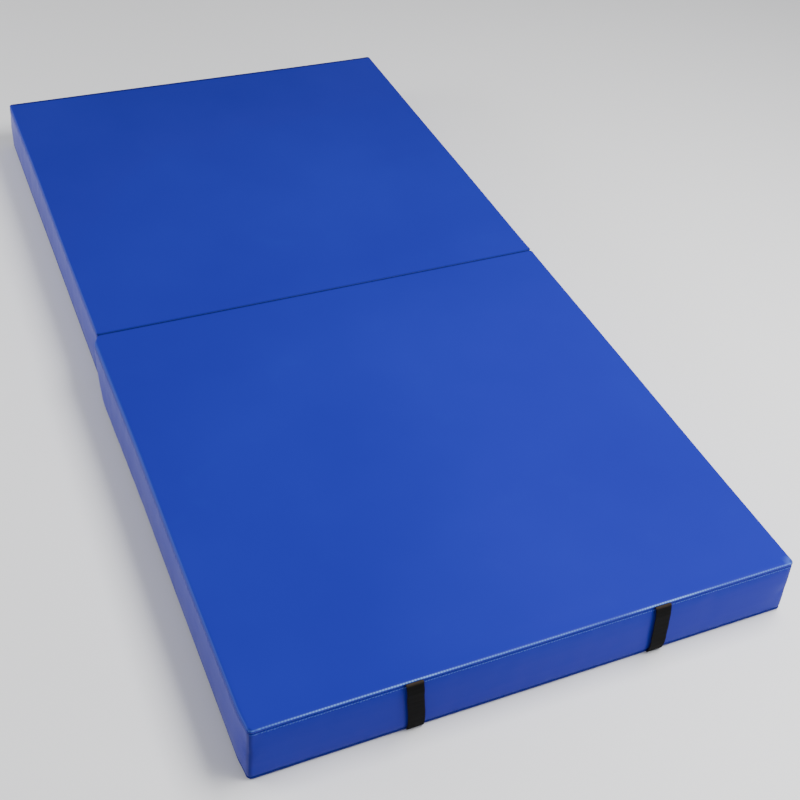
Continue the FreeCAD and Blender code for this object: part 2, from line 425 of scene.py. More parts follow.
def simulate_swelling(panel):
    """Fills a coarse cover as cloth and keeps how far each of its points moves."""
    form = start_block("swelling_form", (panel.west, 0, 0), (panel.east, panel.length, panel.top))
    bpy.ops.object.mode_set(mode="EDIT")
    cut_lines([panel.bottom_seam, panel.top_seam], 2)
    for axis in (0, 1):
        divide_long(axis, PANEL_LONG, round(1 / CELL) - 1)
    divide_long(2, WALL_TALL, WALL_CUTS)
    bpy.ops.mesh.select_all(action="SELECT")
    bpy.ops.mesh.normals_make_consistent(inside=False)
    bpy.ops.object.mode_set(mode="OBJECT")
    sharp = [vertex.co.copy() for vertex in form.data.vertices]
    plain = [rolled(panel, point)[0] for point in sharp]
    held = form.vertex_groups.new(name="held")
    for vertex, point, place in zip(form.data.vertices, sharp, plain):
        vertex.co = place
        on_seam = min(abs(point.z - panel.top_seam), abs(point.z - panel.bottom_seam)) < 0.1 * MM
        on_zip = panel.east - point.x < TOUCH and abs(point.z - panel.middle) < ZIP_BAND
        if on_seam or on_zip or point.z < TOUCH:
            held.add([vertex.index], 1.0, "REPLACE")
    bpy.ops.object.modifier_add(type="CLOTH")
    cloth = form.modifiers["Cloth"].settings
    cloth.quality = 5
    cloth.mass = 0.4
    cloth.vertex_group_mass = "held"
    cloth.use_pressure = True
    cloth.uniform_pressure_force = 4.0
    cloth.shrink_min = -0.006
    cloth.effector_weights.gravity = 0
    for number in range(1, SWELL_FRAMES + 1):
        bpy.context.scene.frame_set(number)
    bpy.ops.object.modifier_apply(modifier="Cloth")
    tree = kdtree.KDTree(len(sharp))
    moves = []
    for vertex, point, place in zip(form.data.vertices, sharp, plain):
        move = vertex.co - place
        limit = swell_limit(panel, point)
        if limit > 0 and move.length > 0:
            move *= limit * math.tanh(move.length / limit) / move.length
        else:
            move *= 0
        if point.y < TOUCH:
            move.y = abs(move.y)
        if panel.top - point.z < TOUCH:
            move.z = min(move.z, TOP_SWELL)
        tree.insert(point, vertex.index)
        moves.append(move)
    tree.balance()
    panel.swell = (tree, moves)
    bpy.context.scene.frame_set(1)
    bpy.data.objects.remove(form)


panels = [Panel("near"), Panel("far")]
for panel in panels:
    simulate_swelling(panel)

# Vinyl. PVC-coated polyester cloth, a satin blue skin with a very fine even grain, faint handling marks
# that change its shine, and a slightly uneven depth of colour.
DEEP_BLUE = (0.0150, 0.0178, 0.268)
CLEAR_BLUE = (0.0175, 0.0222, 0.300)
RUBBED_BLUE = (0.024, 0.045, 0.36)
# The pale blue of a painted highlight on the rolled edges.
PAINTED_HIGHLIGHT_BLUE = (0.20, 0.42, 0.98)
# The dark blue of a painted shade.
PAINTED_SHADE_BLUE = (0.003, 0.006, 0.09)
CLOUDS = 2.3
SMUDGES = 8
GRAIN = 900
SOFT_GRAIN = 420


def make_vinyl(name, gloss):
    """Blue vinyl of a given gloss, with a pale painted highlight over its rolled edges and a dark
    painted shade in its fold, corners and seams.
    """
    material, tree, shader, place = new_material(name)
    smudge = cloudy(tree, place, SMUDGES, 5, 0.62)
    color = mix_color(tree, spread(tree, cloudy(tree, place, CLOUDS), 0.3, 0.7), DEEP_BLUE, CLEAR_BLUE)
    color = mix_color(tree, spread(tree, smudge, 0.6, 0.85, 0.0, 0.14), color, RUBBED_BLUE)
    # A pale painted highlight over the rolled edges, carried by each sheet.
    painted_highlight = tree.nodes.new("ShaderNodeAttribute")
    painted_highlight.attribute_name = "painted_highlight"
    color = mix_color(tree, painted_highlight.outputs["Fac"], color, PAINTED_HIGHLIGHT_BLUE)
    # A dark painted shade in the fold, corners and seams, carried by each sheet.
    painted_shade = tree.nodes.new("ShaderNodeAttribute")
    painted_shade.attribute_name = "painted_shade"
    color = mix_color(tree, painted_shade.outputs["Fac"], color, PAINTED_SHADE_BLUE)
    tree.links.new(color, shader.inputs["Base Color"])
    tree.links.new(spread(tree, smudge, 0.25, 0.75, 0.30, 0.38), shader.inputs["Roughness"])
    fine = relief(tree, grainy(tree, place, GRAIN), 0.00012, 0.35)
    fine = relief(tree, cloudy(tree, place, SOFT_GRAIN, 2), 0.0001, 0.35, fine)
    tree.links.new(relief(tree, smudge, 0.0008, 0.25, fine), shader.inputs["Normal"])
    shader.inputs["Specular IOR Level"].default_value = gloss
    return material


blue_vinyl = make_vinyl("blue_vinyl", 0.035)
side_vinyl = make_vinyl("blue_vinyl_glossy", 0.20)

# Covers, their sheets. Top, bottom and walls are cut apart and sewn 7 mm in from the panel's edges. At
# each seam the cloth dives into the joint, and the stitching beside it draws small even puckers.
SEAM_DIP = 1.3 * MM
SEAM_DIP_WIDTH = 2.2 * MM
STITCH = 5 * MM
STITCH_ROW = 2.2 * MM
STITCH_GROOVE = 0.35 * MM
PUCKER = 0.3 * MM
PUCKER_WIDTH = 1.8 * MM
PUCKER_CLEAR = 16 * MM
PUCKER_FADE = 10 * MM
CORNER_LINES = [1.3 * MM, 2.7 * MM, 4 * MM, 6 * MM, 9 * MM, 13 * MM, 20 * MM]
SEAM_LINES = [0.4 * MM, 1.1 * MM, 2.2 * MM, 3.0 * MM, 3.8 * MM, 4.8 * MM]
WALL_LINES = [step * MM for step in (-40, -31, -23, -16, -10, -5, 0, 5, 10, 16, 23, 31, 40)]
ZIP_OPENING = 10 * MM
ALONG_CUTS = 76
# Painted highlight: on the rolled edges, below the near end's top seam, and at the near right corner.
EDGE_HIGHLIGHT_SHARE = 0.10
LIP_BELOW = 2.9 * MM
LIP_WIDTH = 0.8 * MM
LIP_HIGHLIGHT_SHARE = 0.6
EDGE_HIGHLIGHT = 0.55
HIGHLIGHT_LEAST = 0.85
HIGHLIGHT_SPREAD = 0.7
HIGHLIGHT_WAVES = 8
STRAP_HIGHLIGHT = 0.45
STRAP_HIGHLIGHT_REACH = 55 * MM
CORNER_PALE = 22 * MM
CORNER_PALE_SHARE = 0.15
# Painted shade: in the fold, at the end corners, along the far top edge, at the floor and in the seams.
FOLD_SHADE_REACH = 5 * MM
FOLD_SHADE_SHARE = 0.75
JOINT_REACH = 1.1 * MM
JOINT_SHARE = 0.5
CORNER_SHADE = 0.45
FLOOR_SHADOW = 0.6
FLOOR_SHADOW_REACH = 12 * MM
FAR_EDGE_SHADE = 0.8
FAR_EDGE_REACH = 13 * MM
PUCKER_CUTS = 7


def stitch_wave(run):
    """A wave along a seam that repeats with each stitch."""
    return math.cos(2 * math.pi * run / STITCH)


def seam_draw(panel, point):
    """How far the seams and their stitches draw the cover inwards at a point of a wall."""
    inward = 0.0
    for seam in (panel.top_seam, panel.bottom_seam):
        beside = abs(point.z - seam)
        if beside < SEAM_DIP_WIDTH:
            inward += SEAM_DIP * (1 - beside / SEAM_DIP_WIDTH) ** 2
        off_row = abs(beside - STITCH_ROW)
        if off_row < PUCKER_WIDTH:
            round_ends = min(point.y, panel.length - point.y)
            round_sides = min(point.x - panel.west, panel.east - point.x)
            run = point.x if round_ends < TOUCH else point.y
            clear = round_sides if round_ends < TOUCH else round_ends
            draw = STITCH_GROOVE + PUCKER * ease((clear - PUCKER_CLEAR) / PUCKER_FADE) * stitch_wave(run)
            inward += draw * (1 - off_row / PUCKER_WIDTH)
    return inward


def edge_highlight_strength(across):
    """How strong the painted highlight is along the near end's top edge here. It is strongest beside the
    handles.
    """
    uneven = noise.noise(Vector((across * HIGHLIGHT_WAVES, 0.5, 0.5)))
    highlight = EDGE_HIGHLIGHT * (HIGHLIGHT_LEAST + HIGHLIGHT_SPREAD * uneven)
    for hand in ("left", "right"):
        low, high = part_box("near_handle_" + hand)
        off = abs(across - (low.x + high.x) / 2) / STRAP_HIGHLIGHT_REACH
        highlight += STRAP_HIGHLIGHT * math.exp(-off * off)
    return highlight


def painted_highlight_amount(panel, point):
    """How much painted highlight the vinyl gets here. It is strongest over the near end's top edge."""
    _, depth, facing = outline(panel, point)
    below = min(panel.top - point.z, point.z)
    radius = edge_round(panel, facing, point.y)
    showy = panel.name == "near" and facing.y > 0.5 and point.z > panel.middle
    pale = 0.0
    if depth < radius and below < radius:
        inward = radius - depth
        inner = radius - below
        pale = ease(min(inward, inner) / max(inward, inner) * 1.7 - 0.45)
        pale *= edge_highlight_strength(point.x) if showy else EDGE_HIGHLIGHT_SHARE
        if showy:
            pale *= 0.78 + 0.42 * stitch_wave(point.x)
    # A painted highlight line just below the near end's top seam, broken at each stitch.
    lip = abs(panel.top_seam - point.z - LIP_BELOW)
    if showy and lip < LIP_WIDTH:
        pale += LIP_HIGHLIGHT_SHARE * (1 - lip / LIP_WIDTH) * (0.45 - 0.55 * stitch_wave(point.x))
    # A pale painted highlight patch on the top at the near right corner.
    corner = math.hypot(panel.east - point.x, panel.length - point.y)
    if panel.name == "near" and below < TOUCH and point.z > panel.middle and corner < CORNER_PALE:
        pale += CORNER_PALE_SHARE * ease(2 - 2 * corner / CORNER_PALE)
    return min(1.0, max(0.0, pale))


def painted_shade_amount(panel, point):
    """How much painted shade darkens the vinyl here: in the fold, at the end corners, along the far top
    edge, at the floor and in the seams.
    """
    _, depth, facing = outline(panel, point)
    dark = 0.0
    # Painted shade in the fold's groove.
    if facing.y < -0.5 and point.z > panel.middle:
        dark = FOLD_SHADE_SHARE * ease((FOLD_SHADE_REACH - depth - (panel.top - point.z)) / FOLD_SHADE_REACH)
    # Painted shade at the upright end corners.
    elif facing.y > 0:
        turned = ease(2.4 * min(abs(facing.x), facing.y))
        dark = CORNER_SHADE * turned * ease((CORNER_ROUND - depth) / CORNER_ROUND * 1.5)
    # Painted shade along the far end's top edge.
    if panel.name == "far" and facing.y > 0.5 and point.z > panel.middle:
        dark = max(dark, FAR_EDGE_SHADE * ease(2 - 2 * (depth + panel.top - point.z) / FAR_EDGE_REACH))
    # A painted contact shadow along the floor.
    if point.z < panel.bottom_seam:
        dark = max(dark, FLOOR_SHADOW * ease(2 - 2 * depth / FLOOR_SHADOW_REACH))
    # Painted shade in the seam grooves.
    joint = min(abs(point.z - panel.top_seam), abs(point.z - panel.bottom_seam)) / JOINT_REACH
    return max(dark, JOINT_SHARE * (1 - min(1.0, joint)))


def cover_blank(panel):
    """The whole cover as a sharp-edged box with all the lines that its sheets need."""
    blank = start_block(panel.name + "_cover", (panel.west, 0, 0), (panel.east, panel.length, panel.top))
    bpy.ops.object.mode_set(mode="EDIT")
    last = CORNER_LINES[-1]
    cut_lines([panel.west + last, panel.east - last], 0)
    cut_lines([last, panel.length - last], 1)
    for axis in (0, 1):
        divide_long(axis, PANEL_LONG, ALONG_CUTS)
    inner = CORNER_LINES[:-1]
    cut_lines([panel.west + line for line in inner] + [panel.east - line for line in inner], 0)
    cut_lines(inner + [panel.length - line for line in inner], 1)
    rows = [panel.top - line for line in CORNER_LINES[:3]] + CORNER_LINES[:3]
    for seam in (panel.top_seam, panel.bottom_seam):
        rows.append(seam)
        rows += [seam + line for line in SEAM_LINES]
        rows += [seam - line for line in SEAM_LINES]
    rows += [panel.middle + line for line in WALL_LINES]
    cut_lines(sorted(rows), 2)
    bpy.ops.mesh.select_all(action="SELECT")
    bpy.ops.mesh.normals_make_consistent(inside=False)
    bpy.ops.object.mode_set(mode="OBJECT")
    return blank


def sheet_at(panel, middle):
    """Which sheet of the cover a face of the blank belongs to."""
    if middle.z > panel.top_seam:
        return "top_sheet"
    if middle.z < panel.bottom_seam:
        return "bottom_sheet"
    gaps = {
        "side_boxing": middle.x - panel.west,
        "zip": panel.east - middle.x,
        "fold_boxing": middle.y,
        "end_boxing": panel.length - middle.y,
    }
    wall = min(gaps, key=gaps.get)
    if wall != "zip":
        return wall
    return "zip_strip_upper" if middle.z > panel.middle else "zip_strip_lower"


def beside_seam(panel, a, b):
    """Whether an edge of the blank is a long level one in the puckers' band."""
    level = abs(a.z - b.z) < TOUCH
    reach = min(abs(a.z - panel.top_seam), abs(a.z - panel.bottom_seam))
    along_end = panel.length - min(a.y, b.y) < CORNER_LINES[2] + TOUCH
    beside = reach < SEAM_LINES[-1] + TOUCH or (along_end and a.z > panel.top_seam)
    return level and beside and (a - b).length > 0.8 * CELL


def in_zip_opening(panel, middle):
    """Whether a face of the zipped wall is where the zip goes."""
    along = panel.zip_start < middle.y < panel.zip_end
    return along and abs(middle.z - panel.middle) < ZIP_OPENING / 2


def cut_sheet(panel, blank, sheet):
    """Cuts one sheet out of a copy of the blank and divides it more finely beside its seams."""
    bpy.ops.object.select_all(action="DESELECT")
    blank.select_set(True)
    bpy.context.view_layer.objects.active = blank
    bpy.ops.object.duplicate()
    piece = bpy.context.object
    piece.name = panel.name + "_cover_" + sheet
    bpy.ops.object.mode_set(mode="EDIT")
    pick_faces(lambda middle: sheet_at(panel, middle) != sheet)
    bpy.ops.mesh.delete(type="FACE")
    if sheet.startswith("zip"):
        cut_lines([panel.zip_start, panel.zip_end], 1)
        pick_faces(lambda middle: in_zip_opening(panel, middle))
        bpy.ops.mesh.delete(type="FACE")
    pick_edges(lambda a, b: beside_seam(panel, a, b))
    bpy.ops.mesh.subdivide(number_cuts=PUCKER_CUTS)
    bpy.ops.object.mode_set(mode="OBJECT")
    return piece


def turn_out(panel, piece):
    """Turns a piece's faces outwards again where the panel's own Y runs backwards."""
    bpy.ops.object.select_all(action="DESELECT")
    piece.select_set(True)
    bpy.context.view_layer.objects.active = piece
    if panel.sign < 0:
        bpy.ops.object.mode_set(mode="EDIT")
        bpy.ops.mesh.select_all(action="SELECT")
        bpy.ops.mesh.flip_normals()
        bpy.ops.object.mode_set(mode="OBJECT")


SHEETS = ["top_sheet", "bottom_sheet", "side_boxing", "fold_boxing", "end_boxing"]
SHEETS += ["zip_strip_upper", "zip_strip_lower"]
for panel in panels:
    stops = [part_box(panel.name + "_zip_bottom_stop"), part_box(panel.name + "_zip_top_stops")]
    ends = sorted(panel.own(corner).y for pair in stops for corner in pair)
    panel.zip_start = ends[0]
    panel.zip_end = ends[-1]
    blank = cover_blank(panel)
    for sheet in SHEETS:
        piece = cut_sheet(panel, blank, sheet)
        # This attribute carries the painted highlight.
        painted_highlight = piece.data.attributes.new("painted_highlight", "FLOAT", "POINT")
        # This attribute carries the painted shade.
        painted_shade = piece.data.attributes.new("painted_shade", "FLOAT", "POINT")
        for vertex in piece.data.vertices:
            point = vertex.co.copy()
            inward = seam_draw(panel, point) if TOUCH < point.z < panel.top - TOUCH else 0.0
            painted_highlight.data[vertex.index].value = painted_highlight_amount(panel, point)
            painted_shade.data[vertex.index].value = painted_shade_amount(panel, point)
            vertex.co = panel.world(settled(panel, point, -inward))
        turn_out(panel, piece)
        bpy.ops.object.modifier_add(type="SOLIDIFY")
        piece.modifiers["Solidify"].thickness = SHEET
        piece.modifiers["Solidify"].offset = -1
        bpy.ops.object.modifier_apply(modifier="Solidify")
        bpy.ops.object.shade_smooth_by_angle(angle=math.radians(50))
        glossy = sheet.startswith("zip") or sheet == "side_boxing"
        use_material(piece, side_vinyl if glossy else blue_vinyl)
        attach(piece, panel.body)
        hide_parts(panel.name + "_" + sheet)
    bpy.data.objects.remove(blank)

# Zip tapes. Black polyester tape, woven in a fine herringbone, 15 mm wide, sewn behind the two edges of
# the opening in each cover's zipped wall.
TAPE_BLACK = (0.011, 0.011, 0.013)
TAPE_GREY = (0.022, 0.022, 0.026)
TAPE_EDGE = 0.2 * MM
TAPE_CUTS = 90


def make_tape_cloth():
    """Black woven tape with fine ribs along it."""
    material, tree, shader, place = new_material("black_zip_tape")
    ribs = cloudy(tree, stretch(tree, place, (400, 1700, 700)), 1, 1)
    color = mix_color(tree, spread(tree, ribs, 0.35, 0.65), TAPE_BLACK, TAPE_GREY)
    tree.links.new(color, shader.inputs["Base Color"])
    tree.links.new(spread(tree, ribs, 0.3, 0.7, 0.85, 0.65), shader.inputs["Roughness"])
    tree.links.new(relief(tree, ribs, 0.0003, 0.7), shader.inputs["Normal"])
    shader.inputs["Sheen Weight"].default_value = 0.2
    return material


zip_tape_cloth = make_tape_cloth()
for panel in panels:
    for row in ("upper", "lower"):
        node = panel.name + "_zip_tape_" + row
        low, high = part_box(node)
        tape = start_block(panel.name + "_woven_tape_" + row, low, high)
        bpy.ops.object.mode_set(mode="EDIT")
        pick_edges(lambda a, b: abs(a.y - b.y) > PANEL_LONG)
        bpy.ops.mesh.bevel(offset=TAPE_EDGE, segments=3)
        divide_long(1, PANEL_LONG, TAPE_CUTS)
        bpy.ops.object.mode_set(mode="OBJECT")
        bpy.ops.object.shade_smooth_by_angle(angle=math.radians(40))
        use_material(tape, zip_tape_cloth)
        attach(tape, panel.body)
        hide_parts(node)

# Zip teeth. Each tooth is moulded plastic, gripped onto the edge of its tape, with a waisted head that
# locks between two heads of the other row. One tooth is modelled, and a row repeats it.
TOOTH_PITCH = 2.6 * MM
TOOTH_ROOT = 1.5 * MM
TOOTH_NECK = 0.3 * MM
TOOTH_SHOULDER = 0.3 * MM
TOOTH_HEAD = 0.8 * MM
TOOTH_EDGE = 0.12 * MM
ROW_MARGIN = 0.3 * MM
NECK_WIDTH = 0.5
SHOULDER_WIDTH = 1.5
HEAD_WIDTH = 0.8
PLASTIC_BLACK = (0.010, 0.010, 0.012)
PLASTIC_GREY = (0.020, 0.020, 0.023)


def make_plastic():
    """Black moulded plastic with faint flow marks."""
    material, tree, shader, place = new_material("black_moulded_plastic")
    marks = cloudy(tree, place, 900, 3)
    color = mix_color(tree, spread(tree, marks, 0.35, 0.7), PLASTIC_BLACK, PLASTIC_GREY)
    tree.links.new(color, shader.inputs["Base Color"])
    tree.links.new(spread(tree, marks, 0.3, 0.7, 0.3, 0.45), shader.inputs["Roughness"])
    tree.links.new(relief(tree, marks, 0.00005, 0.4), shader.inputs["Normal"])
    return material


def tooth_step(inwards, width):
    """Extrudes a tooth's inner face on and widens or narrows it."""
    bpy.ops.mesh.extrude_region_move(TRANSFORM_OT_translate={"value": (0, 0, inwards)})
    mesh = bmesh.from_edit_mesh(bpy.context.object.data)
    picked = [vertex.co for vertex in mesh.verts if vertex.select]
    centre = sum(picked, Vector((0, 0, 0))) / len(picked)
    bpy.ops.transform.resize(value=(1, width, 1), center_override=centre)


black_plastic = make_plastic()
for panel in panels:
    for row in ("upper", "lower"):
        node = panel.name + "_zip_teeth_" + row
        low, high = [corner.copy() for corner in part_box(node)]
        inwards = -1 if row == "upper" else 1
        count = int((high.y - low.y) / TOOTH_PITCH) - 1
        margin = ROW_MARGIN + (TOOTH_PITCH / 2 if row == "lower" else 0)
        start = low.y + margin
        if panel.sign > 0:
            start = high.y - margin - TOOTH_ROOT - (count - 1) * TOOTH_PITCH
        name = panel.name + "_moulded_teeth_" + row
        teeth = start_block(name, (low.x, start, low.z), (high.x, start + TOOTH_ROOT, high.z))
        bpy.ops.object.mode_set(mode="EDIT")
        inner = low.z if row == "upper" else high.z
        pick_faces(lambda middle: abs(middle.z - inner) < TOUCH)
        tooth_step(inwards * TOOTH_NECK, NECK_WIDTH)
        tooth_step(inwards * TOOTH_SHOULDER, SHOULDER_WIDTH)
        tooth_step(inwards * TOOTH_HEAD, HEAD_WIDTH)
        pick_edges(lambda a, b: min(a.x, b.x) > high.x - TOUCH or abs(a.x - b.x) > 1 * MM)
        bpy.ops.mesh.bevel(offset=TOOTH_EDGE, segments=1)
        bpy.ops.object.mode_set(mode="OBJECT")
        bpy.ops.object.modifier_add(type="ARRAY")
        repeat = teeth.modifiers["Array"]
        repeat.count = count
        repeat.use_relative_offset = False
        repeat.use_constant_offset = True
        repeat.constant_offset_displace = (0, TOOTH_PITCH, 0)
        bpy.ops.object.modifier_apply(modifier="Array")
        use_material(teeth, black_plastic)
        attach(teeth, panel.body)
        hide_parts(node)
    for stop in ("_zip_top_stops", "_zip_bottom_stop"):
        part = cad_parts[panel.name + stop]
        part.data.materials.clear()
        part.data.materials.append(black_plastic)

# Sliders and pulls. Die-cast sliders and their pull tabs, black enamel that is rubbed thin to a warmer
# grey here and there.
ENAMEL_BLACK = (0.014, 0.014, 0.016)
ENAMEL_WORN = (0.050, 0.047, 0.044)


def make_enamel():
    """Black enamel on die-cast metal."""
    material, tree, shader, place = new_material("black_enamel")
    wear = cloudy(tree, place, 450, 5, 0.6)
    color = mix_color(tree, spread(tree, wear, 0.55, 0.75), ENAMEL_BLACK, ENAMEL_WORN)
    tree.links.new(color, shader.inputs["Base Color"])
    tree.links.new(spread(tree, wear, 0.3, 0.7, 0.22, 0.42), shader.inputs["Roughness"])
    tree.links.new(relief(tree, wear, 0.00008, 0.4), shader.inputs["Normal"])
    shader.inputs["Metallic"].default_value = 0.4
    shader.inputs["Coat Weight"].default_value = 0.3
    return material


black_enamel = make_enamel()
for panel in panels:
    for metal in ("_zip_slider", "_zip_pull"):
        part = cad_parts[panel.name + metal]
        part.data.materials.clear()
        part.data.materials.append(black_enamel)

# Zip ends. A small vinyl patch is sewn over each end of the zip, so that the end of the opening can't
# tear. It follows the wall, with rounded corners and a softly pressed face.
PATCH_CORNER = 3 * MM
PATCH_EDGE = 0.3 * MM
PATCH_COLUMNS = 8
PATCH_ROWS = 10


def wall_seat(panel, wall, point):
    """The nearest place on a wall of the sharp-edged panel, and the height over it."""
    seat = point.copy()
    if wall == "west":
        seat.x = panel.west
        return seat, panel.west - point.x
    if wall == "east":
        seat.x = panel.east
        return seat, point.x - panel.east
    if wall == "fold":
        seat.y = 0.0
        return seat, -point.y
    seat.y = panel.length
    return seat, point.y - panel.length


def lay_on_wall(panel, wall, piece, sink=None):
    """Lays a piece that was made on the sharp-edged panel's wall onto the filled cover."""
    for vertex in piece.data.vertices:
        seat, over = wall_seat(panel, wall, vertex.co)
        lower = sink(vertex.co) if sink else 0.0
        vertex.co = panel.world(settled(panel, seat, over - lower - seam_draw(panel, seat)))


for panel in panels:
    low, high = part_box(panel.name + "_zip_end_tabs")
    first, last = sorted((panel.own(low).y, panel.own(high).y))
    length = panel.zip_start - first
    patches = []
    for begin in (first, last - length):
        far_corner = (high.x, begin + length, high.z)
        patch = start_block(panel.name + "_zip_end_patch", (low.x, begin, low.z), far_corner)
        bpy.ops.object.mode_set(mode="EDIT")
        pick_edges(lambda a, b: abs(a.x - b.x) > 0.5 * MM)
        bpy.ops.mesh.bevel(offset=PATCH_CORNER, segments=6)
        pick_edges(lambda a, b: min(a.x, b.x) > high.x - TOUCH)
        bpy.ops.mesh.bevel(offset=PATCH_EDGE, segments=3)
        cut_lines([begin + length * step / PATCH_COLUMNS for step in range(1, PATCH_COLUMNS)], 1)
        cut_lines([low.z + (high.z - low.z) * step / PATCH_ROWS for step in range(1, PATCH_ROWS)], 2)
        bpy.ops.object.mode_set(mode="OBJECT")
        lay_on_wall(panel, "east", patch)
        turn_out(panel, patch)
        bpy.ops.object.shade_smooth_by_angle(angle=math.radians(40))
        patches.append(patch)
    for patch in patches:
        patch.select_set(True)
    bpy.ops.object.join()
    patch = bpy.context.object
    patch.name = panel.name + "_zip_end_patches"
    use_material(patch, side_vinyl)
    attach(patch, panel.body)
    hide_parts(panel.name + "_zip_end_tabs")

# Handles. Black polypropylene webbing, 30 mm wide and 1.5 mm thick, is caught in the top and bottom
# seams of each end wall. It springs out of the seam in a tight bend and stands off the wall enough for
# fingers, with a plain weave of thick ribs.
WEB_THICK = 1.5 * MM
WARP_PITCH = 1.36 * MM
WEFT_PITCH = 1.7 * MM
WEAVE_DEPTH = 0.13 * MM
EDGE_WAVER = 0.5 * MM
WEB_COLUMNS = 66
WEB_ROWS = 260
NEAR_LEANS = {"left": 9 * MM, "right": 4 * MM}
STRAP_RISES = {"near": 3.2 * MM, "far": 0.0}
RISE_RUN = 0.65
RISE_FROM = 98
RISE_OVER = 16
RISE_OFF_FROM = -0.6
RISE_OFF_OVER = 2.8
LINE_STEPS = 24
WEB_EDGE_SHARE = 0.45
WEB_BLACK = (0.0028, 0.0028, 0.0030)
WEB_GREY = (0.0068, 0.0064, 0.0062)
WEB_FADED = (0.010, 0.008, 0.006)
# The brown of a painted highlight over the strap's top bend, and where it lies.
WEB_HIGHLIGHT = (0.060, 0.042, 0.028)
BEND_HIGHLIGHT_AT = 7.5 * MM
BEND_HIGHLIGHT_REACH = 4.5 * MM
BEND_HIGHLIGHT_SHARE = 0.6
STRAP_BENDS = [
    (-2.6, 112.4), (-0.6, 112.6), (1.0, 113.6), (2.2, 114.9), (3.6, 115.3), (4.9, 114.4), (5.7, 111.8),
    (6.1, 106.5), (6.1, 98.0), (6.0, 84.0), (5.9, 60.0), (5.6, 38.0), (5.0, 22.0), (4.1, 12.0),
    (3.3, 7.0), (2.3, 4.0), (0.5, 2.9), (-1.2, 4.2), (-2.6, 6.4),
]


def make_webbing():
    """Black webbing yarn, a little faded in places, with a brown highlight painted over the top bend."""
    material, tree, shader, place = new_material("black_webbing")
    fibres = cloudy(tree, stretch(tree, place, (3500, 3500, 500)), 1, 2)
    fade = cloudy(tree, place, 60, 3)
    color = mix_color(tree, spread(tree, fibres, 0.3, 0.7), WEB_BLACK, WEB_GREY)
    color = mix_color(tree, spread(tree, fade, 0.5, 0.8, 0.0, 0.35), color, WEB_FADED)
    # A brown painted highlight over the top bend.
    worn = tree.nodes.new("ShaderNodeAttribute")
    worn.attribute_name = "worn"
    color = mix_color(tree, worn.outputs["Fac"], color, WEB_HIGHLIGHT)
    tree.links.new(color, shader.inputs["Base Color"])
    tree.links.new(spread(tree, fibres, 0.3, 0.7, 0.62, 0.8), shader.inputs["Roughness"])
    tree.links.new(relief(tree, fibres, 0.0002, 0.5), shader.inputs["Normal"])
    shader.inputs["Specular IOR Level"].default_value = 0.04
    return material


def strap_line(rise):
    """The strap's middle line as closely spaced places off the wall and up, with their run lengths."""
    bends = []
    for off, up in STRAP_BENDS:
        share = ease((up - RISE_FROM) / RISE_OVER) * ease((off - RISE_OFF_FROM) / RISE_OFF_OVER)
        bends.append(Vector((off * MM, up * MM + rise * share)))
    bends = [bends[0] * 2 - bends[1]] + bends + [bends[-1] * 2 - bends[-2]]
    line = []
    for one, two, three, four in zip(bends, bends[1:], bends[2:], bends[3:]):
        for step in range(LINE_STEPS):
            t = step / LINE_STEPS
            place = two * 2 + (three - one) * t + (one * 2 - two * 5 + three * 4 - four) * t ** 2
            place += (two * 3 - one - three * 3 + four) * t ** 3
            line.append(place / 2)
    line.append(bends[-2])
    runs = [0.0]
    for one, two in zip(line, line[1:]):
        runs.append(runs[-1] + (two - one).length)
    return line, runs


def strap_place(line, runs, run):
    """The middle line's place and its outward direction at a run length."""
    index = min(max(sum(1 for reached in runs if reached <= run) - 1, 0), len(line) - 2)
    share = (run - runs[index]) / (runs[index + 1] - runs[index])
    step = (line[index + 1] - line[index]).normalized()
    return line[index].lerp(line[index + 1], min(max(share, 0.0), 1.0)), Vector((-step.y, step.x))


